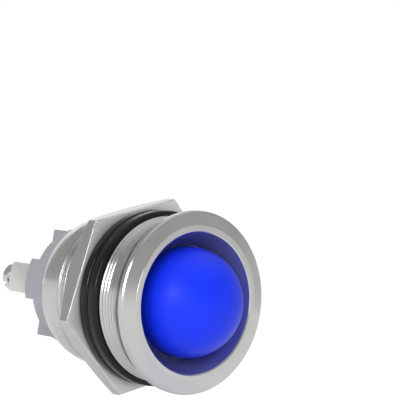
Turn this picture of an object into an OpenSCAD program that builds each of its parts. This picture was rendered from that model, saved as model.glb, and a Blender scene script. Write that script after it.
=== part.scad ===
// Panel pilot light, 22 mm: a domed lens in a plated brass bezel that screws into a round panel hole.
// Millimetres. The lamp's axis runs along Y, lens to -Y, terminals to +Y, +Z is up.
// y = 0 is the panel plane, where the sealing rings end and the nut begins.

/* [Bezel head] */
// Outside diameter of the bezel's rim
head_d = 25.3; // [24.6:0.1:28]
// Diameter of the recess round the lens, at the front
recess_d = 19.5; // [19:0.1:20]
// Diameter of the recess at its floor
recess_floor_d = 16.4; // [16:0.1:17]
// Depth of the recess
recess_depth = 3.1; // [2.6:0.1:3.4]
// Width of the flat inner ring of the face, between the recess and the bevel
face_ring_w = 1; // [0.8:0.05:1.4]
// How far the bevel drops towards the rim
bevel_drop = 0.65; // [0.4:0.05:1]
// Width of the rim's plain side
rim_side = 0.95; // [0.6:0.05:1.2]
// Width of the small chamfers on the rim
rim_chamfer = 0.2; // [0.1:0.05:0.3]
// Thickness of the lip round the lens, behind the recess
lip_t = 1.4; // [1.2:0.1:1.6]
// Diameter of the turned neck behind the rim
neck_d = 23.2; // [23:0.1:23.6]
// Distance from the front face to the start of the turned neck
neck_start = 5; // [4.6:0.1:5.4]
// Distance from the front face to the panel plane
head_height = 10.7; // [10.5:0.1:11.5]

/* [Barrel] */
// Outside diameter of the fixing thread
thread_d = 22; // [21.8:0.1:22.2]
// Distance from one thread to the next
thread_pitch = 1; // [1:0.25:1.5]
// Depth of the thread
thread_depth = 0.58; // [0.5:0.02:0.62]
// Length of the thread behind the panel plane
thread_len = 6.7; // [6:0.1:9]
// Diameter of the smooth skirt behind the thread
skirt_d = 21.5; // [21.2:0.1:21.7]
// Length of the smooth skirt, with its rounded end
skirt_len = 5.7; // [5.4:0.1:6.5]
// Length over which the skirt's end curves in
skirt_round_len = 3.6; // [3.2:0.1:4]
// Inside diameter of the barrel
barrel_bore_d = 18.2; // [18:0.1:18.4]

/* [Lens] */
// Diameter of the dome
lens_d = 15.3; // [15:0.1:15.4]
// Distance from the front face back to the dome's centre
dome_centre = 2; // [1.6:0.1:2.4]
// Wall thickness of the lens
lens_wall = 1.3; // [1:0.1:1.8]
// Thickness of the lens flange
lens_flange_t = 1.1; // [0.9:0.1:1.3]
// Thickness of the flat seal in front of the lens flange
seal_t = 0.5; // [0.4:0.05:0.6]

/* [Light source] */
// Length of the white cup behind the lens
reflector_len = 4.1; // [3.8:0.1:4.4]
// Thickness of the circuit board
board_t = 1; // [0.8:0.1:1.2]
// Wall of the sleeve between the board and the base
sleeve_wall = 0.8; // [0.6:0.1:1]

/* [Sealing rings and nut] */
// Radial width of the two sealing rings
ring_band = 1.3; // [1.2:0.05:1.5]
// Across-flats size of the nut
nut_af = 25; // [24.6:0.1:28]
// Thickness of the nut
nut_t = 2.8; // [2.4:0.1:3.5]
// Diameter of the nut's bearing face inside its corner chamfer
nut_face_d = 24.4; // [24:0.1:24.6]
// Angle of the nut's corners about the axis
nut_turn = 21.5; // [0:0.1:60]

/* [Terminal base] */
// Outside diameter of the moulded base
base_d = 17.4; // [17:0.1:17.5]
// Length of the moulded base from its front to its rear face
base_len = 9.4; // [9:0.1:9.8]
// Length of the wider flange at the base's front
base_flange_len = 4.7; // [4.4:0.1:5]
// Depth of the base's hollow front
cup_depth = 5.2; // [5:0.1:5.4]
// Wall round the base's hollow front
cup_wall = 1.5; // [1.3:0.1:1.7]
// How far the base's rear face stands behind the skirt
base_out = 3.35; // [3:0.05:4]
// How far the terminal pockets stand behind the base's rear face
boss_out = 1.55; // [1.3:0.05:1.9]
// How much lower a pocket's rim stands next to the barrier
boss_step = 1; // [0.6:0.1:1.2]
// Wall above and below a terminal pocket
boss_wall = 0.65; // [0.5:0.05:0.8]
// How far the ribs beside the barrier stand behind the base's rear face
rib_out = 4; // [3.5:0.1:4.5]
// How far the barrier wall stands behind the base's rear face
barrier_out = 7.5; // [6.5:0.1:9]
// Thickness of the barrier wall
barrier_t = 1.3; // [1:0.1:1.6]
// Height of the barrier wall
barrier_h = 15.9; // [15:0.1:16.2]
// Diameter of the sunk area in the base's rear face
sunk_d = 13.6; // [13:0.1:14]
// Depth of the sunk area
sunk_depth = 1.2; // [0.8:0.1:1.6]

/* [Terminals] */
// Distance from the lamp's axis to each terminal's axis
term_x = 4.5; // [4.4:0.05:4.6]
// Width of a terminal block
block_w = 4.3; // [4.2:0.05:4.4]
// Height of a terminal block
block_h = 4.3; // [4.2:0.05:4.4]
// Thickness of the base's floor in front of a block
pocket_floor = 2.1; // [1.8:0.1:2.3]
// How far a block's rear end stands behind the base's rear face
block_out = 8.45; // [8:0.05:9]
// Diameter of the flat left by the turned chamfer on a block's rear end
block_face_d = 4.35; // [4.2:0.05:4.6]
// Diameter of the tail that joins a block to its lead
tail_d = 1.5; // [1.3:0.1:1.7]
// Length of the tail
tail_len = 3.6; // [3.2:0.1:4]
// Diameter of the wire hole across a block
wire_hole_d = 3; // [2.8:0.05:3.1]
// Distance from a block's rear end to the wire hole's axis
wire_hole_back = 3.2; // [3:0.1:3.4]
// Diameter of the terminal screw's thread
screw_d = 2.5; // [2.4:0.05:2.6]
// Diameter of the terminal screw's head
screw_head_d = 4.15; // [4:0.05:4.4]
// Height of the terminal screw's head
screw_head_h = 1.3; // [1.2:0.05:1.6]
// Width of the screw head's slot and cross
slot_w = 0.6; // [0.5:0.05:0.7]
// Depth of the screw head's slot and cross
slot_depth = 0.85; // [0.7:0.05:0.95]
// Outside diameter of the washers under the head
washer_d = 3.7; // [3.5:0.05:3.9]
// Thickness of the plain washer
washer_t = 0.3; // [0.25:0.05:0.5]
// Thickness of the spring washer
spring_washer_t = 0.45; // [0.4:0.05:0.7]

/* [Fits] */
// Radial clearance of the nut on the thread
nut_fit = 0.05; // [0.03:0.01:0.08]
// Radial clearance of a terminal screw in its block
screw_fit = 0.05; // [0.03:0.01:0.08]
// Radial clearance of the washers round the screw
washer_fit = 0.08; // [0.05:0.01:0.1]
// Clearance round a terminal block in its pocket
pocket_fit = 0.1; // [0.08:0.01:0.15]
// Radial clearance of the lens in the recess floor
lens_fit = 0.1; // [0.05:0.01:0.15]
// Radial clearance of the pieces inside the barrel
inside_fit = 0.1; // [0.05:0.01:0.15]

/* [Hidden] */
$fn = 96;
join = 0.02;
body_colour = [0.78, 0.79, 0.80];
nut_colour = [0.74, 0.75, 0.76];
rubber_colour = [0.10, 0.10, 0.11];
lens_colour = [0.10, 0.20, 0.95];
base_colour = [0.56, 0.58, 0.63];
terminal_colour = [0.83, 0.83, 0.82];
board_colour = [0.12, 0.36, 0.20];

// positions along the axis, counted from the front face
rim_front = bevel_drop;
rim_back = rim_front + rim_side;
seat = head_height;
shoulder = 7;
thread_end = seat + thread_len;
skirt_end = thread_end + skirt_len;
skirt_r = skirt_d / 2;
skirt_lip = 0.35;
skirt_round_start = skirt_end - skirt_round_len;
bore_r = barrel_bore_d / 2;
lip_back = recess_depth + lip_t;
face_ring_d = recess_d + 2 * face_ring_w;
thread_r = thread_d / 2;

// sealing rings share the run from the shoulder to the panel plane
ring_w = (seat - shoulder) / 2;
ring_d = thread_d + 2 * ring_band;

// lens and what stands behind it
inside_r = bore_r - inside_fit;
lens_flange_front = lip_back + seal_t;
lens_flange_back = lens_flange_front + lens_flange_t;
board_front = lens_flange_back + reflector_len;
board_back = board_front + board_t;

// terminal base
base_r = base_d / 2;
base_rear = skirt_end + base_out;
base_front = base_rear - base_len;
base_flange_back = base_front + base_flange_len;
pocket_w = block_w + 2 * pocket_fit;
pocket_h = block_h + 2 * pocket_fit;
boss_rear = base_rear + boss_out;
boss_h = pocket_h + 2 * boss_wall;
barrier_rear = base_rear + barrier_out;
rib_rear = base_rear + rib_out;

// terminals
block_rear = base_rear + block_out;
block_front = base_front + cup_depth + pocket_floor;
tail_r = tail_d / 2;
tail_front = block_front - tail_len;
wire_hole_y = block_rear - wire_hole_back;
tap_front = wire_hole_y - wire_hole_d / 2 - 0.6;
head_under = block_rear + washer_t + spring_washer_t;
screw_tip = wire_hole_y - wire_hole_d / 2 - 0.2;
screw_rear = head_under + screw_head_h;

// turns a shape built along Z into one along the lamp's axis; z becomes the distance from the front face
module on_axis() {
    translate([0, -seat, 0])
        rotate([-90, 0, 0])
            children();
}

// a plain tube between two distances from the front face
module tube(outer_r, inner_r, front, back) {
    rotate_extrude()
        translate([inner_r, front])
            square([outer_r - inner_r, back - front]);
}

// the head's outline: inner ring, bevel, rim, coved back and turned neck
module head_profile() {
    rim_r = head_d / 2;
    back_r = rim_r - rim_chamfer;
    neck_r = neck_d / 2;
    difference() {
        union() {
            polygon([
                [recess_d / 2, 0.15],
                [recess_d / 2 + 0.2, 0],
                [face_ring_d / 2, 0.06],
                [rim_r - rim_chamfer, rim_front - 0.1],
                [rim_r, rim_front + rim_chamfer],
                [rim_r, rim_back - rim_chamfer],
                [back_r, rim_back],
                [neck_r, rim_back],
                [neck_r, shoulder - 0.2],
                [neck_r - 0.2, shoulder],
                [thread_r - 0.5, shoulder],
                [thread_r - 0.5, lip_back],
                [lens_d / 2 + lens_fit, lip_back],
                [lens_d / 2 + lens_fit, recess_depth],
                [recess_floor_d / 2, recess_depth]
            ]);
            cove(back_r, neck_r);
        }
        // three fine turned grooves round the neck
        for (k = [0 : 2])
            translate([neck_r - 0.12, neck_start + 0.35 + k * 0.55])
                square([0.3, 0.16]);
    }
}

// hollow curve from the back of the rim down to the neck
module cove(back_r, neck_r) {
    mid = neck_start + 0.2;
    cove_x = (back_r * back_r - neck_r * neck_r + pow(mid - rim_back, 2)
              - pow(mid - neck_start, 2)) / (2 * (back_r - neck_r));
    difference() {
        translate([neck_r - 0.5, rim_back - 0.3])
            square([back_r - neck_r + 0.5, mid - rim_back + 0.3]);
        translate([cove_x, mid])
            circle(r = norm([cove_x - neck_r, mid - neck_start]));
    }
}

// the barrel's outline: threaded length, smooth skirt and rounded end
module barrel_profile() {
    difference() {
        translate([bore_r, shoulder - 0.5])
            square([thread_r - bore_r, thread_end - shoulder + 0.5]);
        thread_grooves();
    }
    translate([bore_r, lip_back - join])
        square([thread_r - bore_r - 0.4, shoulder - lip_back]);
    skirt();
}

// the thread behind the panel plane, as a row of V grooves at its pitch
module thread_grooves() {
    crest = thread_pitch / 8;
    half_w = (thread_pitch - crest) / 2;
    root = half_w - thread_depth * tan(30);
    groove_count = floor((thread_len - crest) / thread_pitch);
    for (k = [0 : groove_count - 1])
        translate([thread_r, thread_end - crest - half_w - k * thread_pitch])
            polygon([
                [0.05, -half_w - 0.05 * tan(30)],
                [-thread_depth, -root],
                [-thread_depth, root],
                [0.05, half_w + 0.05 * tan(30)]
            ]);
}

// smooth skirt, its end curving in to a thin lip
module skirt() {
    lip_r = bore_r + skirt_lip;
    mid = skirt_round_start - 0.55;
    round_x = (skirt_r * skirt_r - lip_r * lip_r + pow(skirt_round_start - mid, 2)
               - pow(skirt_end - mid, 2)) / (2 * (skirt_r - lip_r));
    intersection() {
        translate([bore_r, thread_end - join])
            square([skirt_r - bore_r, skirt_end - thread_end + join]);
        translate([round_x, mid])
            circle(r = norm([skirt_r - round_x, skirt_round_start - mid]));
    }
}

// plated brass body: bezel, recess, neck, thread and skirt in one turning
module bezel_body() {
    color(body_colour)
        on_axis()
            rotate_extrude() {
                head_profile();
                barrel_profile();
            }
}

// moulded lens: a dome on a short cylinder, with a flange trapped behind the recess floor
module lens_dome() {
    lens_r = lens_d / 2;
    inner_r = lens_r - lens_wall;
    color(lens_colour)
        on_axis()
            difference() {
                union() {
                    translate([0, 0, dome_centre])
                        sphere(r = lens_r);
                    translate([0, 0, dome_centre])
                        cylinder(r = lens_r, h = lens_flange_back - dome_centre);
                    translate([0, 0, lens_flange_front])
                        cylinder(r = inside_r, h = lens_flange_t);
                }
                translate([0, 0, dome_centre])
                    sphere(r = inner_r);
                translate([0, 0, dome_centre])
                    cylinder(r = inner_r, h = lens_flange_back - dome_centre + 1);
                // the rear half of the ball is cut off behind the flange
                translate([0, 0, lens_flange_back])
                    cylinder(r = lens_r + 1, h = lens_r + 1);
            }
}

// flat rubber ring between the recess floor's lip and the lens flange
module lens_seal() {
    color(rubber_colour)
        on_axis()
            tube(inside_r, lens_d / 2 + lens_fit, lip_back, lens_flange_front);
}

// white plastic cup that stands behind the lens and carries the board
module reflector() {
    mouth_r = lens_d / 2 - lens_wall - 0.1;
    throat_r = 4.9;
    color([0.92, 0.92, 0.90])
        on_axis()
            rotate_extrude()
                polygon([
                    [mouth_r, lens_flange_back],
                    [inside_r, lens_flange_back],
                    [inside_r, board_front],
                    [throat_r, board_front],
                    [throat_r, board_front - 1]
                ]);
}

// round circuit board behind the reflector
module led_board() {
    color(board_colour)
        on_axis()
            translate([0, 0, board_front])
                cylinder(r = inside_r, h = board_t);
}

// one 3 mm lamp chip body, standing on the front of the board at an angle about the axis
module led(turn) {
    led_r = 1.5;
    led_ring_r = 1.75;
    led_ring_t = 0.7;
    led_tall = 3;
    led_circle_r = 2.7;
    color([0.85, 0.90, 1.0])
        on_axis()
            rotate([0, 0, turn])
                translate([led_circle_r, 0, board_front]) {
                    translate([0, 0, -led_ring_t])
                        cylinder(r = led_ring_r, h = led_ring_t);
                    translate([0, 0, -led_tall])
                        cylinder(r = led_r, h = led_tall);
                    translate([0, 0, -led_tall])
                        sphere(r = led_r);
                }
}

module led_top() {
    led(-90);
}

module led_left() {
    led(150);
}

module led_right() {
    led(30);
}

// axial resistor on the back of the board, with two bent leads
module series_resistor() {
    part_r = 0.9;
    part_len = 4.4;
    wire_r = 0.25;
    wire_reach = 3;
    lift = 1.3;
    color([0.75, 0.66, 0.50])
        on_axis()
            translate([0, -3.6, board_back]) {
                translate([-part_len / 2, 0, lift])
                    rotate([0, 90, 0])
                        cylinder(r = part_r, h = part_len);
                translate([-wire_reach, 0, lift])
                    rotate([0, 90, 0])
                        cylinder(r = wire_r, h = 2 * wire_reach);
                for (side = [-1, 1])
                    translate([side * (wire_reach - wire_r), 0, 0])
                        cylinder(r = wire_r, h = lift);
            }
}

// moulded bridge rectifier on the back of the board
module bridge_rectifier() {
    part_w = 4.6;
    part_h = 3.8;
    part_t = 2.5;
    pad_w = 0.8;
    pad_t = 0.3;
    color([0.13, 0.13, 0.14])
        on_axis()
            translate([0, 3.4, board_back]) {
                translate([-part_w / 2, -part_h / 2, pad_t])
                    cube([part_w, part_h, part_t]);
                for (side = [-1, 1])
                    for (row = [-1, 1])
                        translate([side * 1.6 - pad_w / 2, row * 1.9 - pad_w / 2, 0])
                            cube([pad_w, pad_w, pad_t + 0.2]);
            }
}

// plastic sleeve that keeps the board and the base apart
module spacer_sleeve() {
    color([0.86, 0.86, 0.84])
        on_axis()
            tube(inside_r, inside_r - sleeve_wall, board_back, base_front);
}

// insulated lead from the board to a terminal's tail
module lead(side) {
    lead_r = 0.65;
    color(side > 0 ? [0.75, 0.12, 0.10] : [0.12, 0.12, 0.13])
        on_axis()
            translate([side * term_x, 0, board_back])
                cylinder(r = lead_r, h = tail_front - board_back);
}

module lead_left() {
    lead(-1);
}

module lead_right() {
    lead(1);
}

// rubber ring in the gap between the base and the skirt
module base_seal() {
    color(rubber_colour)
        on_axis()
            tube(bore_r, base_r, base_flange_back, skirt_end - 0.6);
}

// grey moulding: cup, rear face with sunk areas, two pockets and the barrier wall
module terminal_base() {
    color(base_colour)
        on_axis()
            difference() {
                union() {
                    translate([0, 0, base_front])
                        cylinder(r = bore_r, h = base_flange_back - base_front);
                    translate([0, 0, base_front])
                        cylinder(r = base_r, h = base_rear - base_front - 0.3);
                    // small rounded edge of the rear face
                    translate([0, 0, base_rear - 0.3])
                        cylinder(r1 = base_r, r2 = base_r - 0.3, h = 0.3);
                    // pocket walls reach out to the base's own round outline
                    intersection() {
                        translate([0, 0, base_rear - 2])
                            cylinder(r = base_r, h = boss_rear - base_rear + 3);
                        pocket_walls();
                    }
                    // barrier wall across the diameter
                    translate([-barrier_t / 2, -barrier_h / 2, base_rear - 2])
                        cube([barrier_t, barrier_h, barrier_rear - base_rear + 2]);
                    // ribs between the barrier and each block
                    translate([-(term_x - pocket_w / 2), -boss_h / 2, base_rear - 2])
                        cube([2 * term_x - pocket_w, boss_h, rib_rear - base_rear + 2]);
                }
                // hollow front of the cup
                translate([0, 0, base_front - 1])
                    cylinder(r = bore_r - cup_wall, h = cup_depth + 1);
                // sunk areas above and below the pockets, on both sides of the barrier
                sunk_areas();
                for (side = [-1, 1]) {
                    // pocket for the block
                    translate([side * term_x - pocket_w / 2, -pocket_h / 2, block_front])
                        cube([pocket_w, pocket_h, rib_rear - block_front + 1]);
                    // hole for the block's tail
                    translate([side * term_x, 0, base_front])
                        cylinder(r = tail_r + 0.05, h = block_front - base_front + 1);
                    // vent hole in one sunk area on each side
                    translate([side * 2.5, -side * 3.9, base_front])
                        cylinder(r = 0.75, h = base_rear - base_front + 1);
                }
            }
}

// walls round both pockets, lower next to the barrier and rising outwards
module pocket_walls() {
    low = boss_rear - boss_step;
    slope_in = term_x - 0.9;
    slope_out = term_x + 1;
    for (side = [-1, 1])
        translate([0, -boss_h / 2, 0])
            rotate([-90, 0, 0])
                linear_extrude(height = boss_h)
                    polygon([
                        [0, -base_rear + 2],
                        [side * base_r, -base_rear + 2],
                        [side * base_r, -boss_rear],
                        [side * slope_out, -boss_rear],
                        [side * slope_in, -low],
                        [0, -low]
                    ]);
}

// quarter-round pockets sunk in the base's rear face
module sunk_areas() {
    side_gap = barrier_t / 2;
    top_gap = boss_h / 2;
    for (side = [-1, 1])
        for (row = [-1, 1])
            intersection() {
                translate([0, 0, base_rear - sunk_depth])
                    cylinder(r = sunk_d / 2, h = sunk_depth + 1);
                translate([side > 0 ? side_gap : -side_gap - sunk_d,
                           row > 0 ? top_gap : -top_gap - sunk_d,
                           base_rear - sunk_depth])
                    cube([sunk_d, sunk_d, sunk_depth + 1]);
            }
}

// plated terminal block: square bar with a turned end, a cross hole for the wire and a tapped hole
module terminal(side) {
    corner_r = norm([block_w, block_h]) / 2 + 0.1;
    chamfer = (corner_r - block_face_d / 2) * tan(30);
    color(terminal_colour)
        on_axis()
            translate([side * term_x, 0, 0])
                difference() {
                    union() {
                        intersection() {
                            translate([-block_w / 2, -block_h / 2, block_front])
                                cube([block_w, block_h, block_rear - block_front]);
                            union() {
                                translate([0, 0, block_front - 1])
                                    cylinder(r = corner_r, h = block_rear - chamfer - block_front + 1);
                                translate([0, 0, block_rear - chamfer])
                                    cylinder(r1 = corner_r, r2 = block_face_d / 2, h = chamfer);
                            }
                        }
                        translate([0, 0, tail_front])
                            cylinder(r = tail_r, h = block_front - tail_front + 0.5);
                    }
                    // wire hole, right through from top to bottom
                    translate([0, block_h / 2 + 1, wire_hole_y])
                        rotate([90, 0, 0])
                            cylinder(r = wire_hole_d / 2, h = block_h + 2);
                    // tapped hole for the screw
                    translate([0, 0, tap_front])
                        cylinder(r = screw_d / 2, h = block_rear - tap_front + 1);
                }
}

module terminal_left() {
    terminal(-1);
}

module terminal_right() {
    terminal(1);
}

// plain washer between the block and the spring washer
module washer(side) {
    color(terminal_colour)
        on_axis()
            translate([side * term_x, 0, 0])
                tube(washer_d / 2, screw_d / 2 - screw_fit + washer_fit, block_rear, block_rear + washer_t);
}

module washer_left() {
    washer(-1);
}

module washer_right() {
    washer(1);
}

// split spring washer, pressed flat by the screw head
module spring_washer(side, turn) {
    split_w = 0.35;
    front = block_rear + washer_t;
    color(terminal_colour)
        on_axis()
            translate([side * term_x, 0, 0])
                difference() {
                    tube(washer_d / 2 - 0.05, screw_d / 2 - screw_fit + washer_fit, front, head_under);
                    rotate([0, 0, turn])
                        translate([0, -split_w / 2, front - 1])
                            cube([washer_d, split_w, spring_washer_t + 2]);
                }
}

module spring_washer_left() {
    spring_washer(-1, 160);
}

module spring_washer_right() {
    spring_washer(1, 200);
}

// cheese-head screw with a slot and a cross recess
module terminal_screw(side, turn) {
    shank_r = screw_d / 2 - screw_fit;
    head_r = screw_head_d / 2;
    cross_len = 2.6;
    edge = 0.3;
    color(terminal_colour)
        on_axis()
            translate([side * term_x, 0, 0])
                difference() {
                    union() {
                        translate([0, 0, screw_tip])
                            cylinder(r = shank_r, h = head_under - screw_tip + join);
                        translate([0, 0, head_under])
                            cylinder(r = head_r, h = screw_head_h - edge);
                        translate([0, 0, screw_rear - edge])
                            cylinder(r1 = head_r, r2 = head_r - edge, h = edge);
                    }
                    rotate([0, 0, turn]) {
                        translate([-head_r - 1, -slot_w / 2, screw_rear - slot_depth])
                            cube([2 * head_r + 2, slot_w, slot_depth + 1]);
                        translate([-slot_w / 2, -cross_len / 2, screw_rear - slot_depth])
                            cube([slot_w, cross_len, slot_depth + 1]);
                    }
                }
}

module screw_left() {
    terminal_screw(-1, 35);
}

module screw_right() {
    terminal_screw(1, 60);
}

// moulded rubber ring with rounded outer corners
module sealing_ring(front, corner) {
    inner_r = thread_r;
    outer_r = ring_d / 2;
    color(rubber_colour)
        on_axis()
            rotate_extrude()
                intersection() {
                    translate([inner_r, front])
                        square([outer_r - inner_r, ring_w]);
                    union() {
                        translate([inner_r, front])
                            square([outer_r - inner_r - corner, ring_w]);
                        translate([inner_r, front + corner])
                            square([outer_r - inner_r, ring_w - 2 * corner]);
                        translate([outer_r - corner, front + corner])
                            circle(r = corner);
                        translate([outer_r - corner, front + ring_w - corner])
                            circle(r = corner);
                    }
                }
}

module ring_front() {
    sealing_ring(shoulder, 0.6);
}

module ring_rear() {
    sealing_ring(shoulder + ring_w, 0.8);
}

// hexagon nut: flat front, corners chamfered at the rear, countersunk bore
module hex_nut() {
    corner_r = nut_af / sqrt(3);
    bore = thread_r + nut_fit;
    sink = 0.45;
    chamfer_reach = 3;
    rear = seat + nut_t;
    color(nut_colour)
        on_axis()
            difference() {
                intersection() {
                    translate([0, 0, seat])
                        rotate([0, 0, -nut_turn])
                            cylinder(r = corner_r, h = nut_t, $fn = 6);
                    union() {
                        translate([0, 0, seat])
                            cylinder(r = corner_r + 1, h = nut_t - chamfer_reach * tan(30));
                        translate([0, 0, rear - chamfer_reach * tan(30)])
                            cylinder(r1 = nut_face_d / 2 + chamfer_reach,
                                     r2 = nut_face_d / 2,
                                     h = chamfer_reach * tan(30));
                    }
                }
                translate([0, 0, seat - 1])
                    cylinder(r = bore, h = nut_t + 2);
                translate([0, 0, rear - sink])
                    cylinder(r1 = bore, r2 = bore + sink + 0.5, h = sink + 0.5);
                translate([0, 0, seat - 0.5])
                    cylinder(r1 = bore + 0.8, r2 = bore, h = 0.8);
            }
}

bezel_body();
lens_dome();
lens_seal();
reflector();
led_board();
led_top();
led_left();
led_right();
series_resistor();
bridge_rectifier();
spacer_sleeve();
lead_left();
lead_right();
base_seal();
terminal_base();
terminal_left();
terminal_right();
washer_left();
washer_right();
spring_washer_left();
spring_washer_right();
screw_left();
screw_right();
ring_front();
ring_rear();
hex_nut();
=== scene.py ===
import bmesh
import bpy
import math
from mathutils import Matrix, Vector


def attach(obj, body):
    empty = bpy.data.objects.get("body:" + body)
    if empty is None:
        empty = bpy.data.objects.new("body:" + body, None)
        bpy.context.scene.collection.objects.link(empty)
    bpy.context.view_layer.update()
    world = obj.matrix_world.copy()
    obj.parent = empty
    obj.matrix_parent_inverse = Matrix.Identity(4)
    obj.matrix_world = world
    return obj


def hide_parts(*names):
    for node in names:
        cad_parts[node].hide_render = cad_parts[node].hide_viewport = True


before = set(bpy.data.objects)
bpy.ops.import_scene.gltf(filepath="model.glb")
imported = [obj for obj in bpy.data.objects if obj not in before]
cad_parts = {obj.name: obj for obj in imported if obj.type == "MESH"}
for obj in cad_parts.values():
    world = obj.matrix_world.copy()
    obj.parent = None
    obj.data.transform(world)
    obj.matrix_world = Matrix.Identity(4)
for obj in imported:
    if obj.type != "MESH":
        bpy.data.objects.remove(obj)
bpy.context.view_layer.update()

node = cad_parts
MM = 0.001

# ---------------------------------------------------------------------------
# Bezel body. One piece of brass turned from bar: a face ring and bevel round a
# polished recess, a coved neck, a 22 x 1 thread and a smooth skirt. It is
# nickel plated, satin where the tool marks show and bright in the recess, where
# the nickel's colour is painted darker as painted shade.
# ---------------------------------------------------------------------------
# Millimetres: radii from the lamp's axis, and places along it counted from the front face to the rear.
RIM_R = 12.65
RIM_BACK = 1.60
COVE_START = 1.62        # the neck is hollow here, behind the rim
COVE_LENGTH = 3.36
COVE_FLARE = 0.83
NECK_R = 11.6
NECK_STEP = 0.06
RIDGE_START = 3.48       # fine ridges from here to the sealing rings
RIDGE_PITCH = 0.66
RIDGE_DEEPER = 5.1       # the ridges behind this are cut deeper
SHOULDER = 7.0           # the sealing rings begin
SEAT = 10.7              # the panel begins
THREAD_R = 11.0
THREAD_PITCH = 1.0
THREAD_DEPTH = 0.58
THREAD_END = 17.4
THREAD_ROWS = 14         # rows of points a millimetre, enough to carry the thread's form
SKIRT_R = 10.75
SKIRT_ROUND = 19.5       # the skirt begins to curve in
SKIRT_END = 23.1
SKIRT_ARC_R = 7.18
SKIRT_ARC_AT = (3.59, 18.95)
LIP_R = 9.42             # rear lip, round the terminal base
BORE_R = 9.1
RECESS_R = 9.75
RECESS_DEPTH = 3.1
FLOOR_BACK = 4.5         # rear of the recess floor
FLOOR_HOLE_R = 7.75      # the dome comes through here


def rounded(corners, steps=4, hold=0.03, closed=True):
    """Points along a profile of (radius, distance, rounding) corners, with holding points beside arcs."""
    pts = [Vector((corner[0], corner[1])) for corner in corners]
    n = len(pts)
    runs = []
    for i, corner in enumerate(corners):
        if not closed and i in (0, n - 1):
            runs.append([pts[i]])
            continue
        p, before, after = pts[i], pts[i - 1], pts[(i + 1) % n]
        u, v = before - p, after - p
        to_before, to_after = u.length, v.length
        u, v = u / to_before, v / to_after
        turn = math.pi - math.acos(max(-1, min(1, u.dot(v))))
        ease = corner[2]
        if ease <= 0 or turn < 0.02:
            runs.append([p])
            continue
        back_off = min(ease * math.tan(turn / 2), 0.45 * to_before, 0.45 * to_after)
        ease = back_off / math.tan(turn / 2)
        centre = p + (u + v).normalized() * (ease / math.cos(turn / 2))
        start, end = p + u * back_off - centre, p + v * back_off - centre
        arc = []
        for k in range(steps + 1):
            w = k / steps
            swung = start * math.sin((1 - w) * turn) + end * math.sin(w * turn)
            arc.append(centre + swung / math.sin(turn))
        runs.append(arc)
    out = []
    for i, run in enumerate(runs):
        out += run
        if i + 1 < n or closed:
            a, b = run[-1], runs[(i + 1) % n][0]
            gap = (b - a).length
            if gap > 4 * hold:
                out += [a + (b - a) * (hold / gap), b - (b - a) * (hold / gap)]
    return [(p.x, p.y) for p in out]


def in_scene(name, data):
    """A new object for this mesh, lamp or camera."""
    ob = bpy.data.objects.new(name, data)
    bpy.context.scene.collection.objects.link(ob)
    return ob


def turned(name, path, around, closed=True, cut=None, centre_x=0.0, finish=None):
    """A turning about a line along the lamp. cut changes the radius by place; finish picks the slot."""
    mesh = bpy.data.meshes.new(name)
    bm = bmesh.new()
    rings = []
    for r, a in path:
        if r < 1e-6:
            rings.append([bm.verts.new((centre_x * MM, (a - SEAT) * MM, 0.0))])
            continue
        ring = []
        for j in range(around):
            q = 2 * math.pi * j / around
            rr = cut(r, a, q) if cut else r
            x, z = centre_x + rr * math.cos(q), rr * math.sin(q)
            ring.append(bm.verts.new((x * MM, (a - SEAT) * MM, z * MM)))
        rings.append(ring)
    pairs = list(zip(range(len(rings)), range(1, len(rings))))
    if closed:
        pairs.append((len(rings) - 1, 0))
    for i, k in pairs:
        a, b = rings[i], rings[k]
        for j in range(around):
            n = (j + 1) % around
            ring = [a[j % len(a)], a[n % len(a)], b[n % len(b)], b[j % len(b)]]
            ring = [v for m, v in enumerate(ring) if v not in ring[:m]]
            if len(ring) > 2:
                f = bm.faces.new(ring)
                f.smooth = True
                if finish:
                    (r1, a1), (r2, a2) = path[i], path[k]
                    f.material_index = finish((r1 + r2) / 2, (a1 + a2) / 2)
    bmesh.ops.recalc_face_normals(bm, faces=bm.faces)
    bm.to_mesh(mesh)
    bm.free()
    return in_scene(name, mesh)


def thread_depth(a, q, start, end, pitch, depth):
    """How far a right-hand thread is cut in at this place, fading out at both ends."""
    if a <= start or a >= end:
        return 0.0
    phase = ((a - start) / pitch + q / (2 * math.pi)) % 1.0
    flank = abs(2 * phase - 1)                       # 1 at the root, 0 at the crest
    form = min(1.0, max(0.0, (flank - 0.14) / 0.70))
    form = form * form * (3 - 2 * form) * 0.45 + form * 0.55
    fade = min(1.0, (a - start) / (0.5 * pitch), (end - a) / (0.5 * pitch))
    return depth * form * fade


face = [(RECESS_R, 0.14, 0.06), (9.93, 0.0, 0.05), (10.69, 0.015, 0.02), (10.76, 0.12, 0.02)]
bevel = [(12.46, 0.57, 0.16), (RIM_R, 0.85, 0.10), (RIM_R, 1.45, 0.10), (12.46, RIM_BACK, 0.03)]
neck = []
for k in range(1, 87):
    a = COVE_START + NECK_STEP * k
    flare = COVE_FLARE * max(0.0, 1 - (a - COVE_START) / COVE_LENGTH) ** 2.1
    groove = 0.0
    if a > RIDGE_START:
        half_deep = 0.04 if a < RIDGE_DEEPER else 0.09
        groove = (1 - math.cos(2 * math.pi * (a - RIDGE_START) / RIDGE_PITCH)) * half_deep
    neck.append((NECK_R + flare - groove, a, 0))
shoulder = [(NECK_R, 6.84, 0.03), (11.4, SHOULDER, 0.04), (THREAD_R, SHOULDER, 0.02)]
barrel = [(THREAD_R, SEAT + k / THREAD_ROWS, 0) for k in range(int((THREAD_END - SEAT) * THREAD_ROWS))]
skirt = [(THREAD_R, THREAD_END - 0.16, 0.05), (SKIRT_R, THREAD_END + 0.02, 0.05),
         (SKIRT_R, SKIRT_ROUND, 0.3)]
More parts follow.
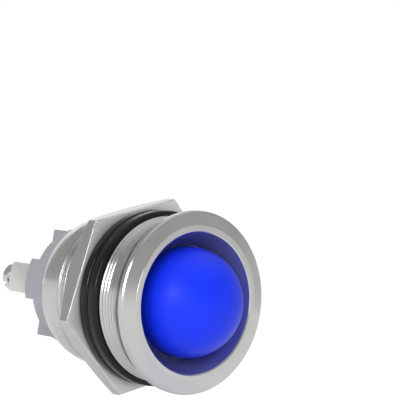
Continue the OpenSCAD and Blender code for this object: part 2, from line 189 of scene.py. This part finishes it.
for k in range(1, 15):
    a = SKIRT_ROUND + (SKIRT_END - 0.08 - SKIRT_ROUND) * k / 15
    reach = math.sqrt(SKIRT_ARC_R ** 2 - (a - SKIRT_ARC_AT[1]) ** 2)
    skirt.append((SKIRT_ARC_AT[0] + reach - 0.02, a, 0))
bore = [(LIP_R, SKIRT_END, 0.12), (BORE_R, SKIRT_END, 0.10), (BORE_R, FLOOR_BACK, 0.05),
        (FLOOR_HOLE_R, FLOOR_BACK, 0.05), (FLOOR_HOLE_R, RECESS_DEPTH, 0.0), (7.82, RECESS_DEPTH, 0.03)]


def fixing_thread(r, a, q):
    """The radius with the fixing thread cut in, behind the seat only."""
    if r > THREAD_R - 0.1 and a > SEAT:
        return r - thread_depth(a, q, SEAT + 0.06, THREAD_END - 0.1, THREAD_PITCH, THREAD_DEPTH)
    return r


def bezel_finish(r, a):
    """The recess has the bright finish, its colour painted darker as painted shade; all the rest the satin
    one.
    """
    if r < RECESS_R + 0.05 and a < RECESS_DEPTH + 0.05:
        return 1
    return 0


bezel = turned("bezel", rounded(face + bevel + neck + shoulder + barrel + skirt + bore), 224,
               cut=fixing_thread, finish=bezel_finish)


def new_effect(name, inputs, outputs):
    """An empty shader node group with these sockets; returns it with its input and output nodes."""
    g = bpy.data.node_groups.new(name, "ShaderNodeTree")
    for label, kind, value in inputs:
        s = g.interface.new_socket(name=label, in_out="INPUT", socket_type=kind)
        s.default_value = value
    for label, kind in outputs:
        g.interface.new_socket(name=label, in_out="OUTPUT", socket_type=kind)
    return g, g.nodes.new("NodeGroupInput"), g.nodes.new("NodeGroupOutput")


def maths(tree, kind, a, b=None, clamp=False):
    """One sum on values or sockets; returns the socket of its result."""
    m = tree.nodes.new("ShaderNodeMath")
    m.operation = kind
    m.use_clamp = clamp
    for s, v in zip(m.inputs, (a, b)):
        if v is None:
            continue
        if isinstance(v, (int, float)):
            s.default_value = v
        else:
            tree.links.new(v, s)
    return m.outputs[0]


def mottle(tree, vector, scale, detail, rough):
    """Uneven spots of this fineness, from 0 to 1."""
    n = tree.nodes.new("ShaderNodeTexNoise")
    if isinstance(scale, (int, float)):
        n.inputs["Scale"].default_value = scale
    else:
        tree.links.new(scale, n.inputs["Scale"])
    n.inputs["Detail"].default_value = detail
    n.inputs["Roughness"].default_value = rough
    tree.links.new(vector, n.inputs["Vector"])
    return n.outputs["Fac"]


def shades(tree, value, stops):
    """Colours blended along a value, from (place, colour) stops."""
    r = tree.nodes.new("ShaderNodeValToRGB")
    e = r.color_ramp.elements
    while len(e) < len(stops):
        e.new(0.5)
    for k, (p, colour) in enumerate(stops):
        e[k].position = p
        e[k].color = (*colour, 1)
    tree.links.new(value, r.inputs["Fac"])
    return r.outputs["Color"]


def place_on_piece(tree):
    """The place on the piece as separate X, Y and Z."""
    where = tree.nodes.new("ShaderNodeTexCoord")
    split = tree.nodes.new("ShaderNodeSeparateXYZ")
    tree.links.new(where.outputs["Object"], split.inputs[0])
    return split.outputs


def place_moved_on(tree, seed):
    """The place on the piece, moved on by a seed so that no two finishes show the same spots."""
    where = tree.nodes.new("ShaderNodeTexCoord")
    shift = tree.nodes.new("ShaderNodeVectorMath")
    shift.operation = "ADD"
    tree.links.new(where.outputs["Object"], shift.inputs[0])
    tree.links.new(seed, shift.inputs[1])
    return shift.outputs[0]


# tool marks left by turning: fine rings round the lamp's axis, with a few broader ones
tool_marks, gi, go = new_effect("tool_marks",
                                [("Fineness", "NodeSocketFloat", 9000.0)],
                                [("Height", "NodeSocketFloat"), ("Streak", "NodeSocketFloat")])
t = tool_marks
at = place_on_piece(t)
squares = maths(t, "ADD", maths(t, "MULTIPLY", at["X"], at["X"]), maths(t, "MULTIPLY", at["Z"], at["Z"]))
join = t.nodes.new("ShaderNodeCombineXYZ")
t.links.new(maths(t, "SQRT", squares), join.inputs["X"])
t.links.new(at["Y"], join.inputs["Y"])
t.links.new(maths(t, "MULTIPLY", maths(t, "ARCTAN2", at["Z"], at["X"]), 0.00006), join.inputs["Z"])
fine = mottle(t, join.outputs[0], gi.outputs["Fineness"], 2.0, 0.6)
broad = mottle(t, join.outputs[0], 1400.0, 3.0, 0.5)
height = maths(t, "ADD", maths(t, "MULTIPLY", fine, 0.7), maths(t, "MULTIPLY", broad, 0.3))
t.links.new(height, go.inputs["Height"])
t.links.new(broad, go.inputs["Streak"])

# handling marks: faint cloudy smudges and small pits in the plating
handling_marks, gi, go = new_effect("handling_marks",
                                    [("Size", "NodeSocketFloat", 260.0), ("Seed", "NodeSocketFloat", 0.0)],
                                    [("Smudge", "NodeSocketFloat"), ("Pits", "NodeSocketFloat")])
t = handling_marks
at = place_moved_on(t, gi.outputs["Seed"])
pits = mottle(t, at, 5200.0, 2.0, 0.5)
t.links.new(mottle(t, at, gi.outputs["Size"], 5.0, 0.6), go.inputs["Smudge"])
t.links.new(maths(t, "MULTIPLY", maths(t, "SUBTRACT", pits, 0.66, True), 3.0, True), go.inputs["Pits"])


def bare_finish(name):
    """A new material with its node tree and its Principled BSDF."""
    m = bpy.data.materials.new(name)
    m.use_nodes = True
    t = m.node_tree
    return m, t, t.nodes["Principled BSDF"]


def lay_on(tree, effect, **values):
    """One of the effects put in a material with its own values."""
    n = tree.nodes.new("ShaderNodeGroup")
    n.node_tree = effect
    for k, v in values.items():
        n.inputs[k.replace("_", " ")].default_value = v
    return n.outputs


def raise_marks(tree, bsdf, height, strength, distance):
    """Marks that stand this many metres out of the surface."""
    b = tree.nodes.new("ShaderNodeBump")
    b.inputs["Strength"].default_value = strength
    b.inputs["Distance"].default_value = distance
    tree.links.new(height, b.inputs["Height"])
    tree.links.new(b.outputs["Normal"], bsdf.inputs["Normal"])


def plated(name, light, dark, rough, rough_span, mark_depth, metallic=1.0, seed=0.0):
    """Plating over turned or milled metal: tool marks, smudges and small pits."""
    m, t, b = bare_finish(name)
    b.inputs["Metallic"].default_value = metallic
    marks = lay_on(t, tool_marks, Fineness=9000.0)
    hands = lay_on(t, handling_marks, Size=260.0, Seed=seed)
    streak, smudge = marks["Streak"], hands["Smudge"]
    tone = maths(t, "ADD", maths(t, "MULTIPLY", streak, 0.45), maths(t, "MULTIPLY", smudge, 0.55))
    t.links.new(shades(t, tone, [(0.30, dark), (0.62, light)]), b.inputs["Base Color"])
    r = maths(t, "ADD", maths(t, "MULTIPLY", smudge, rough_span), rough - rough_span / 2)
    r = maths(t, "ADD", r, maths(t, "MULTIPLY", marks["Height"], rough_span * 0.6))
    t.links.new(r, b.inputs["Roughness"])
    height = maths(t, "SUBTRACT", marks["Height"], maths(t, "MULTIPLY", hands["Pits"], 0.8))
    raise_marks(t, b, height, 0.5, mark_depth)
    return m


satin_nickel = plated("satin_nickel", (0.76, 0.76, 0.75), (0.71, 0.71, 0.705), 0.17, 0.08, 0.0000012)
# painted shade: the recess's nickel is darker than the satin nickel, and part diffuse
recess_nickel_painted_shade = plated("recess_nickel_painted_shade", (0.62, 0.60, 0.62), (0.57, 0.55, 0.58), 0.17, 0.06, 0.0000008,
                       metallic=0.88)
bezel.data.materials.append(satin_nickel)
bezel.data.materials.append(recess_nickel_painted_shade)
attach(bezel, "lamp_body")
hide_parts("bezel_body")

# ---------------------------------------------------------------------------
# Lens and its seal. The lens is moulded in deep blue light-spreading plastic
# with a softly polished dome; its flange is trapped behind the recess floor on
# a flat ring of black rubber.
# ---------------------------------------------------------------------------
LENS_R = 7.65
LENS_INNER_R = 6.35
DOME_A = 2.0             # centre of the dome
FLANGE_R = 9.0
FLANGE_FRONT = 5.0
FLANGE_REAR = 6.1
LENS_SHADE_FROM_Y = -0.0145        # painted shade: the lens's blue darkens from here back into the recess, in metres
LENS_SHADE_SPAN = 0.0075


def dome_arc(r, steps):
    """A quarter circle from the pole of the dome to its foot."""
    arc = [(0.0, DOME_A - r)]
    for k in range(1, steps + 1):
        q = math.pi / 2 * k / steps
        arc.append((r * math.sin(q), DOME_A - r * math.cos(q)))
    return arc


flange = rounded([(LENS_R, DOME_A + 0.1, 0), (LENS_R, FLANGE_FRONT, 0.03), (FLANGE_R, FLANGE_FRONT, 0.08),
                  (FLANGE_R, FLANGE_REAR, 0.08), (LENS_INNER_R, FLANGE_REAR, 0.05),
                  (LENS_INNER_R, DOME_A + 0.1, 0)], closed=False)
lens = turned("lens", dome_arc(LENS_R, 40) + flange + dome_arc(LENS_INNER_R, 24)[::-1], 128, closed=False)

# fine even grain of a moulded surface
moulded_grain, gi, go = new_effect("moulded_grain",
                                   [("Size", "NodeSocketFloat", 3000.0), ("Seed", "NodeSocketFloat", 0.0)],
                                   [("Height", "NodeSocketFloat"), ("Cloud", "NodeSocketFloat")])
t = moulded_grain
at = place_moved_on(t, gi.outputs["Seed"])
t.links.new(mottle(t, at, gi.outputs["Size"], 4.0, 0.6), go.inputs["Height"])
t.links.new(mottle(t, at, 180.0, 3.0, 0.5), go.inputs["Cloud"])


def moulded(name, light, dark, rough, rough_span, depth, size=3000.0, seed=0.0, shine=0.5):
    """Moulded plastic or rubber: slow tone changes and a fine grain."""
    m, t, b = bare_finish(name)
    g = lay_on(t, moulded_grain, Size=size, Seed=seed)
    t.links.new(shades(t, g["Cloud"], [(0.3, dark), (0.7, light)]), b.inputs["Base Color"])
    r = maths(t, "ADD", maths(t, "MULTIPLY", g["Height"], rough_span), rough - rough_span / 2)
    t.links.new(r, b.inputs["Roughness"])
    b.inputs["Specular IOR Level"].default_value = shine
    raise_marks(t, b, g["Height"], 0.5, depth)
    return m


lens_blue, t, b = bare_finish("lens_blue")
g = lay_on(t, moulded_grain, Size=1500.0, Seed=3.0)
# painted shade: the blue is darker towards the lens's back, where it sits in the recess
recess_shade = maths(t, "SUBTRACT", place_on_piece(t)["Y"], LENS_SHADE_FROM_Y)
recess_shade = maths(t, "MULTIPLY", recess_shade, 1 / LENS_SHADE_SPAN, True)
tone = maths(t, "ADD", recess_shade, maths(t, "MULTIPLY", g["Cloud"], 0.12))
blues_darkened_by_painted_shade = [(0.10, (0.004, 0.036, 0.95)), (0.60, (0.003, 0.030, 0.88)), (0.95, (0.002, 0.020, 0.55))]
t.links.new(shades(t, tone, blues_darkened_by_painted_shade), b.inputs["Base Color"])
t.links.new(maths(t, "ADD", maths(t, "MULTIPLY", g["Height"], 0.06), 0.36), b.inputs["Roughness"])
b.inputs["IOR"].default_value = 1.47
b.inputs["Specular IOR Level"].default_value = 0.36
raise_marks(t, b, g["Height"], 0.3, 0.000002)
lens.data.materials.append(lens_blue)
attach(lens, "lamp_body")
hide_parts("lens_dome")


def clothe(name, material):
    """Gives a CAD node its finish in every slot."""
    ob = node[name]
    if not ob.data.materials:
        ob.data.materials.append(material)
    for k in range(len(ob.data.materials)):
        ob.data.materials[k] = material


black_rubber = moulded("black_rubber", (0.006, 0.006, 0.007), (0.004, 0.004, 0.0045), 0.14, 0.06, 0.000004,
                       size=2600.0, shine=0.40)
clothe("lens_seal", black_rubber)

# ---------------------------------------------------------------------------
# Light source. A white cup, a round board with three lamp chips in front, and a
# resistor and a bridge rectifier soldered behind. A spacer holds the board off
# the terminal base and two insulated leads run back to the terminals.
# ---------------------------------------------------------------------------
white_plastic = moulded("white_plastic", (0.90, 0.90, 0.88), (0.84, 0.84, 0.82), 0.35, 0.10, 0.000004)
clothe("reflector", white_plastic)
clothe("spacer_sleeve", white_plastic)
board_green = moulded("board_green", (0.05, 0.28, 0.12), (0.03, 0.19, 0.08), 0.40, 0.10, 0.000003,
                      size=1800.0)
clothe("led_board", board_green)
chip_clear = moulded("chip_clear", (0.80, 0.86, 0.98), (0.72, 0.79, 0.94), 0.12, 0.05, 0.000002)
for name in ("led_top", "led_left", "led_right"):
    clothe(name, chip_clear)
resistor_lacquer = moulded("resistor_lacquer", (0.66, 0.55, 0.36), (0.55, 0.44, 0.28), 0.35, 0.10, 0.000003)
clothe("series_resistor", resistor_lacquer)
chip_epoxy = moulded("chip_epoxy", (0.035, 0.035, 0.04), (0.02, 0.02, 0.022), 0.50, 0.10, 0.000005)
clothe("bridge_rectifier", chip_epoxy)
lead_black = moulded("lead_black", (0.03, 0.03, 0.03), (0.018, 0.018, 0.018), 0.40, 0.10, 0.000003)
clothe("lead_left", lead_black)
lead_red = moulded("lead_red", (0.52, 0.03, 0.02), (0.40, 0.02, 0.015), 0.40, 0.10, 0.000003)
clothe("lead_right", lead_red)
clothe("base_seal", black_rubber)

# ---------------------------------------------------------------------------
# Terminal base. One moulding in blue-grey plastic: a cup that closes the skirt,
# a barrier wall across it, sunk areas above and below, and a pocket each side
# for a terminal block. Its edges are slightly rounded, as moulded edges are.
# ---------------------------------------------------------------------------
EDGE_ANGLE = math.radians(28)      # edges sharper than this are eased
FLAT_ANGLE = math.radians(0.6)     # faces flatter to each other than this are joined


def eased(source, name, edge, segments=2):
    """A fine copy of a CAD node's solid with its edges rounded off."""
    mesh = node[source].data.copy()
    mesh.name = name
    bm = bmesh.new()
    bm.from_mesh(mesh)
    bmesh.ops.remove_doubles(bm, verts=bm.verts, dist=1e-6)
    bmesh.ops.dissolve_limit(bm, angle_limit=FLAT_ANGLE, verts=bm.verts, edges=bm.edges)
    for f in bm.faces:
        f.smooth = True
    bm.to_mesh(mesh)
    bm.free()
    mesh.materials.clear()
    ob = in_scene(name, mesh)
    rounding = ob.modifiers.new("eased_edges", "BEVEL")
    rounding.limit_method = "ANGLE"
    rounding.angle_limit = EDGE_ANGLE
    rounding.width = edge * MM
    rounding.segments = segments
    rounding.use_clamp_overlap = True
    rounding.harden_normals = True
    bpy.context.view_layer.objects.active = ob
    ob.select_set(True)
    bpy.ops.object.modifier_apply(modifier=rounding.name)
    ob.select_set(False)
    return ob


base = eased("terminal_base", "base", 0.17, segments=3)
grey_plastic = moulded("grey_plastic", (0.398, 0.410, 0.446), (0.358, 0.369, 0.402), 0.42, 0.10, 0.000004,
                       size=2600.0, seed=5.0)
base.data.materials.append(grey_plastic)
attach(base, "lamp_body")
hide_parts("terminal_base")

# ---------------------------------------------------------------------------
# Terminal blocks. Short lengths of square brass bar, tin plated, pushed into the
# pockets; a cross hole takes the wire and the end is tapped for the screw.
# ---------------------------------------------------------------------------
TERM_X = 4.5
BLOCK_REAR = 34.9
satin_tin = plated("satin_tin", (0.95, 0.95, 0.94), (0.91, 0.91, 0.90), 0.38, 0.12, 0.0000015,
                   metallic=0.85, seed=7.0)
for label in ("left", "right"):
    block = eased("terminal_" + label, "block_" + label, 0.12)
    block.data.materials.append(satin_tin)
    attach(block, "lamp_body")
    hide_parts("terminal_" + label)

# ---------------------------------------------------------------------------
# Terminal screws with their washers. Headed and thread-rolled steel, bright
# nickel plated, with a slot and a short cross; a plain washer and a split spring
# washer lie under each head.
# ---------------------------------------------------------------------------
WASHERS = 0.75           # both washers together
HEAD_R = 2.075
HEAD_H = 1.3
HEAD_UNDER = BLOCK_REAR + WASHERS
HEAD_REAR = HEAD_UNDER + HEAD_H
SHANK_R = 1.2
SCREW_PITCH = 0.45
SCREW_DEPTH = 0.24
TURN_ROWS = 12           # rows of points a turn
SCREW_TIP = BLOCK_REAR - 3.2 - 1.5 - 0.2   # just past the far side of the wire hole
SLOT_W = 0.6
SLOT_DEPTH = 0.85
CROSS_LENGTH = 2.6
CUTTER_DEEP = 2.0


def screw_thread(r, a, q):
    """The radius with the screw's thread cut in, on the shank only."""
    if a < HEAD_UNDER - 0.05 and r > SHANK_R - 0.2:
        return r - thread_depth(a, q, SCREW_TIP + 0.1, HEAD_UNDER - 0.1, SCREW_PITCH, SCREW_DEPTH)
    return r


def cut_slot(screw, name, size, place_at, turn):
    """Cuts a driver slot of this size into a screw head, turned about the screw's axis."""
    bpy.ops.mesh.primitive_cube_add(size=1)
    cutter = bpy.context.object
    cutter.name = name
    cutter.data.transform(Matrix.Diagonal((size[0] * MM, size[1] * MM, size[2] * MM, 1)))
    cutter.data.transform(Matrix.Rotation(-math.radians(turn), 4, "Y"))
    cutter.data.transform(Matrix.Translation(Vector(place_at) * MM))
    cut = screw.modifiers.new("cut", "BOOLEAN")
    cut.operation = "DIFFERENCE"
    cut.solver = "EXACT"
    cut.object = cutter
    bpy.context.view_layer.objects.active = screw
    bpy.ops.object.modifier_apply(modifier=cut.name)
    bpy.data.objects.remove(cutter)


def ease_slots(screw, width):
    """Rounds the sharp edges that the driver slots leave in a screw head."""
    bm = bmesh.new()
    bm.from_mesh(screw.data)
    above = (HEAD_REAR - SLOT_DEPTH - SEAT - 0.02) * MM
    sharp = [e for e in bm.edges if len(e.link_faces) == 2 and e.calc_face_angle(0) > math.radians(35)
             and all(v.co.y > above for v in e.verts)]
    bmesh.ops.bevel(bm, geom=sharp, offset=width * MM, segments=2, profile=0.5, affect="EDGES",
                    clamp_overlap=True)
    for f in bm.faces:
        f.smooth = True
    bm.to_mesh(screw.data)
    bm.free()
    screw.data.set_sharp_from_angle(angle=math.radians(50))


shank_rows = int((HEAD_UNDER - SCREW_TIP - 0.2) / SCREW_PITCH * TURN_ROWS)
tip = [(0.0, SCREW_TIP, 0), (0.95, SCREW_TIP, 0.05), (SHANK_R, SCREW_TIP + 0.1, 0)]
shank = [(SHANK_R, SCREW_TIP + 0.1 + (k + 1) * SCREW_PITCH / TURN_ROWS, 0) for k in range(shank_rows)]
head = [(SHANK_R, HEAD_UNDER, 0.02), (HEAD_R, HEAD_UNDER, 0.08), (HEAD_R, HEAD_REAR, 0.36),
        (0.0, HEAD_REAR, 0)]
screw_path = rounded(tip + shank + head, closed=False)
cutter_y = HEAD_REAR - SLOT_DEPTH + CUTTER_DEEP / 2 - SEAT
bright_steel = plated("bright_steel", (0.86, 0.86, 0.86), (0.74, 0.74, 0.745), 0.16, 0.10, 0.0000015,
                      seed=11.0)
for side, label, turn in ((-1, "left", 35), (1, "right", 60)):
    screw = turned("screw_" + label + "_fine", screw_path, 72, closed=False, cut=screw_thread,
                   centre_x=side * TERM_X)
    cut_slot(screw, "slot", (6, CUTTER_DEEP, SLOT_W), (side * TERM_X, cutter_y, 0), turn)
    cut_slot(screw, "cross", (SLOT_W, CUTTER_DEEP, CROSS_LENGTH), (side * TERM_X, cutter_y, 0), turn)
    ease_slots(screw, 0.05)
    screw.data.materials.append(bright_steel)
    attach(screw, "screw_" + label)
    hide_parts("screw_" + label)
    for part in ("washer_", "spring_washer_"):
        washer = eased(part + label, part + label + "_fine", 0.06)
        washer.data.materials.append(bright_steel)
        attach(washer, "washers_" + label)
        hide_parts(part + label)

# ---------------------------------------------------------------------------
# Sealing rings. Two rings moulded in black rubber, stacked on the barrel between
# the shoulder and the panel; the rear one is round where it meets the panel.
# ---------------------------------------------------------------------------
RING_R = 12.3
RING_BORE_R = 11.02
RINGS_MEET = 8.85
for label, front, rear, front_ease, rear_ease in (("ring_front", SHOULDER, RINGS_MEET, 0.55, 0.62),
                                                  ("ring_rear", RINGS_MEET, SEAT, 0.80, 0.85)):
    section = [(RING_BORE_R, front, 0.05), (RING_R, front, front_ease),
               (RING_R, rear, rear_ease), (RING_BORE_R, rear, 0.05)]
    ring = turned(label + "_fine", rounded(section, steps=10), 192)
    ring.data.materials.append(black_rubber)
    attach(ring, "lamp_body")
    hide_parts(label)

# ---------------------------------------------------------------------------
# Hexagon nut. Milled from 25 mm brass bar and nickel plated; the front bears on
# the panel, the corners are turned off at the rear and the bore is countersunk.
# ---------------------------------------------------------------------------
NUT_T = 2.8
NUT_TURN = 21.5          # degrees round the lamp's axis
NUT_FLAT_R = 12.5
NUT_EASE = 0.22          # rounding of the six corners
NUT_FACE_R = 12.2        # rear face, inside the turned-off corners
NUT_BORE_R = THREAD_R + 0.05
FLAT_STEPS = 14
THIRTY = math.radians(30)


def nut_outline():
    """Angle and radius round a hexagon with eased corners and a holding point beside each."""
    out = []
    for side in range(6):
        mid = math.radians(NUT_TURN + 30 + 60 * side)
        stop = NUT_FLAT_R * math.tan(THIRTY) - NUT_EASE * math.tan(THIRTY)
        hold = stop - 0.04
        between = [-hold + 2 * hold * k / FLAT_STEPS for k in range(1, FLAT_STEPS)]
        for x in [-stop, -hold] + between + [hold, stop]:
            out.append((mid + math.atan2(x, NUT_FLAT_R), math.hypot(x, NUT_FLAT_R)))
        corner = mid + THIRTY
        corner_r = (NUT_FLAT_R - NUT_EASE) / math.cos(THIRTY)
        for k in range(1, 5):
            q = mid + 2 * THIRTY * k / 5
            px = corner_r * math.cos(corner) + NUT_EASE * math.cos(q)
            pz = corner_r * math.sin(corner) + NUT_EASE * math.sin(q)
            out.append((math.atan2(pz, px), math.hypot(px, pz)))
    return out


def nut_section(big):
    """The nut's section, as (radius, distance), where its outside is this far out."""
    edge = NUT_T - (big - NUT_FACE_R) * math.tan(THIRTY)
    front = [(NUT_BORE_R, 0.75), (NUT_BORE_R + 0.02, 0.70), (NUT_BORE_R + 0.66, 0.04),
             (NUT_BORE_R + 0.72, 0.0), (big - 0.16, 0.0), (big - 0.12, 0.0)]
    outside = [(big - 0.05, 0.03), (big - 0.01, 0.09), (big, 0.16), (big, edge - 0.07),
               (big - 0.004, edge - 0.02), (big - 0.02, edge + 0.016), (big - 0.06, edge + 0.04)]
    rear = [(NUT_FACE_R + 0.05, NUT_T - 0.03), (NUT_FACE_R, NUT_T - 0.006), (NUT_FACE_R - 0.05, NUT_T),
            (NUT_BORE_R + 0.55, NUT_T)]
    countersink = [(NUT_BORE_R + 0.50, NUT_T - 0.01), (NUT_BORE_R + 0.46, NUT_T - 0.04),
                   (NUT_BORE_R + 0.03, NUT_T - 0.46), (NUT_BORE_R, NUT_T - 0.52)]
    return front + outside + rear + countersink


mesh = bpy.data.meshes.new("nut")
bm = bmesh.new()
columns = []
for q, big in nut_outline():
    column = []
    for r, a in nut_section(big):
        column.append(bm.verts.new((r * math.cos(q) * MM, a * MM, r * math.sin(q) * MM)))
    columns.append(column)
for i, column in enumerate(columns):
    following = columns[(i + 1) % len(columns)]
    for k in range(len(column)):
        n = (k + 1) % len(column)
        bm.faces.new((column[k], following[k], following[n], column[n])).smooth = True
bmesh.ops.recalc_face_normals(bm, faces=bm.faces)
# the front face takes the paler nickel, painted light
for f in bm.faces:
    if f.normal.y < -0.9:
        f.material_index = 1
bm.to_mesh(mesh)
bm.free()
nut = in_scene("nut", mesh)
# the sides are bright, the front face is left duller by the facing cut; the front face is also painted
# paler with a white diffuse part, painted light
nut_nickel = plated("nut_nickel", (0.76, 0.76, 0.75), (0.71, 0.71, 0.705), 0.20, 0.10, 0.0000015, seed=21.0)
nut_face_painted_light = plated("nut_face_painted_light", (0.95, 0.95, 0.94), (0.90, 0.90, 0.895), 0.58, 0.12, 0.000003,
                  metallic=0.50, seed=23.0)
nut.data.materials.append(nut_nickel)
nut.data.materials.append(nut_face_painted_light)
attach(nut, "nut")
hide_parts("hex_nut")

# ---------------------------------------------------------------------------
# Stand, light and camera. The lamp hangs a little above a plain white floor, in
# a room that is pale below and grey above, with two soft lamps and some bright
# panels for the plating to mirror.
# ---------------------------------------------------------------------------
FLOOR_Z = -0.0165
FLOOR_SIZE = 1.5
floor_mesh = bpy.data.meshes.new("floor")
bm = bmesh.new()
bmesh.ops.create_grid(bm, x_segments=1, y_segments=1, size=FLOOR_SIZE)
bmesh.ops.translate(bm, verts=bm.verts, vec=(0, 0, FLOOR_Z))
bm.to_mesh(floor_mesh)
bm.free()
floor = in_scene("floor", floor_mesh)
floor_white, t, b = bare_finish("floor_white")
b.inputs["Base Color"].default_value = (0.80, 0.80, 0.80, 1)
b.inputs["Roughness"].default_value = 0.9
b.inputs["Specular IOR Level"].default_value = 0.0
b.inputs["Emission Color"].default_value = (1, 1, 1, 1)
path = t.nodes.new("ShaderNodeLightPath")
seen = maths(t, "ADD", maths(t, "ADD", path.outputs["Is Camera Ray"], path.outputs["Is Glossy Ray"], True),
             path.outputs["Is Transmission Ray"], True)
glow = maths(t, "MULTIPLY", path.outputs["Is Camera Ray"], 0.55)
glow = maths(t, "ADD", glow, maths(t, "MULTIPLY", seen, 0.04))
t.links.new(maths(t, "ADD", glow, 0.16), b.inputs["Emission Strength"])
floor.data.materials.append(floor_white)

# the room's grey by height: 0 straight down, 0.5 level, 1 straight up
ROOM_GREYS = [(0.0, 0.80), (0.505, 0.80), (0.515, 0.38), (0.84, 0.32), (0.90, 0.48), (1.0, 0.60)]
world = bpy.data.worlds.new("room")
bpy.context.scene.world = world
world.use_nodes = True
t = world.node_tree
back = t.nodes["Background"]
sky = t.nodes.new("ShaderNodeTexCoord")
split = t.nodes.new("ShaderNodeSeparateXYZ")
t.links.new(sky.outputs["Generated"], split.inputs[0])
height = maths(t, "ADD", maths(t, "MULTIPLY", split.outputs["Z"], 0.5), 0.5)
room = shades(t, height, [(p, (grey, grey, grey)) for p, grey in ROOM_GREYS])


def bright_panel(direction, inner, outer, strength):
    """A bright panel of the room round this direction, with a soft edge between two angles."""
    dot = t.nodes.new("ShaderNodeVectorMath")
    dot.operation = "DOT_PRODUCT"
    t.links.new(sky.outputs["Generated"], dot.inputs[0])
    dot.inputs[1].default_value = Vector(direction).normalized()
    edge = t.nodes.new("ShaderNodeMapRange")
    edge.interpolation_type = "SMOOTHSTEP"
    edge.inputs["From Min"].default_value = math.cos(math.radians(outer))
    edge.inputs["From Max"].default_value = math.cos(math.radians(inner))
    edge.inputs["To Max"].default_value = strength
    t.links.new(dot.outputs["Value"], edge.inputs["Value"])
    return edge.outputs["Result"]


panels = bright_panel((0.65, -0.75, 0.0), 18, 30, 0.19)          # front right, low
for direction, inner, outer, strength in (
        ((-0.95, -0.25, 0.10), 3, 6, 12.0),                      # three small ones in a column, left
        ((-0.92, -0.25, 0.26), 3, 6, 9.0),
        ((-0.87, -0.25, 0.42), 3, 6, 5.0),
        ((0.35, 0.80, 0.45), 9, 13, 0.25),                       # behind, high
        ((0.40, 0.88, 0.22), 20, 24, 0.42),                      # behind, broad
        ((0.99, -0.12, 0.10), 12, 24, 0.16)):                    # right
    panels = maths(t, "ADD", panels, bright_panel(direction, inner, outer, strength))
both = t.nodes.new("ShaderNodeMix")
both.data_type = "RGBA"
both.blend_type = "ADD"
both.inputs["Factor"].default_value = 1.0
t.links.new(room, both.inputs["A"])
t.links.new(panels, both.inputs["B"])
path = t.nodes.new("ShaderNodeLightPath")
pick = t.nodes.new("ShaderNodeMix")
pick.data_type = "RGBA"
t.links.new(path.outputs["Is Camera Ray"], pick.inputs["Factor"])
t.links.new(both.outputs["Result"], pick.inputs["A"])
pick.inputs["B"].default_value = (1, 1, 1, 1)
t.links.new(pick.outputs["Result"], back.inputs["Color"])
back.inputs["Strength"].default_value = 1.0


def soft_box(name, at, size, power):
    """A soft lamp aimed at the part; its own shape isn't mirrored in the plating."""
    data = bpy.data.lights.new(name, "AREA")
    data.shape = "RECTANGLE"
    data.size, data.size_y = size
    data.energy = power
    lamp = in_scene(name, data)
    lamp.location = at
    lamp.rotation_mode = "QUATERNION"
    lamp.rotation_quaternion = (-Vector(at)).to_track_quat("-Z", "Y")
    lamp.visible_glossy = False


soft_box("box_front", (-0.46, -0.46, 0.17), (0.40, 0.30), 2.05)
soft_box("box_top", (0.15, 0.05, 0.60), (0.50, 0.50), 0.45)

# the camera's place: degrees round the lamp from straight ahead, degrees of rise, degrees of roll
CAMERA_TURN = -40.9647
CAMERA_RISE = -4.0136
CAMERA_ROLL = 9.1565
CAMERA_AWAY = 265.359
CAMERA_AIM = (3.2124, -4.1401, 14.5406)
cam_data = bpy.data.cameras.new("camera")
cam = in_scene("camera", cam_data)
facing = (Matrix.Rotation(math.radians(CAMERA_TURN), 4, "Z")
          @ Matrix.Rotation(math.radians(90 - CAMERA_RISE), 4, "X")
          @ Matrix.Rotation(math.radians(CAMERA_ROLL), 4, "Z"))
cam.matrix_world = (Matrix.Translation(Vector(CAMERA_AIM) * MM)
                    @ facing @ Matrix.Translation((0, 0, CAMERA_AWAY * MM)))
cam_data.sensor_width = 36
cam_data.lens = 169.763
cam_data.clip_start, cam_data.clip_end = 0.01, 10
bpy.context.scene.camera = cam
bpy.context.scene.view_settings.view_transform = "Standard"
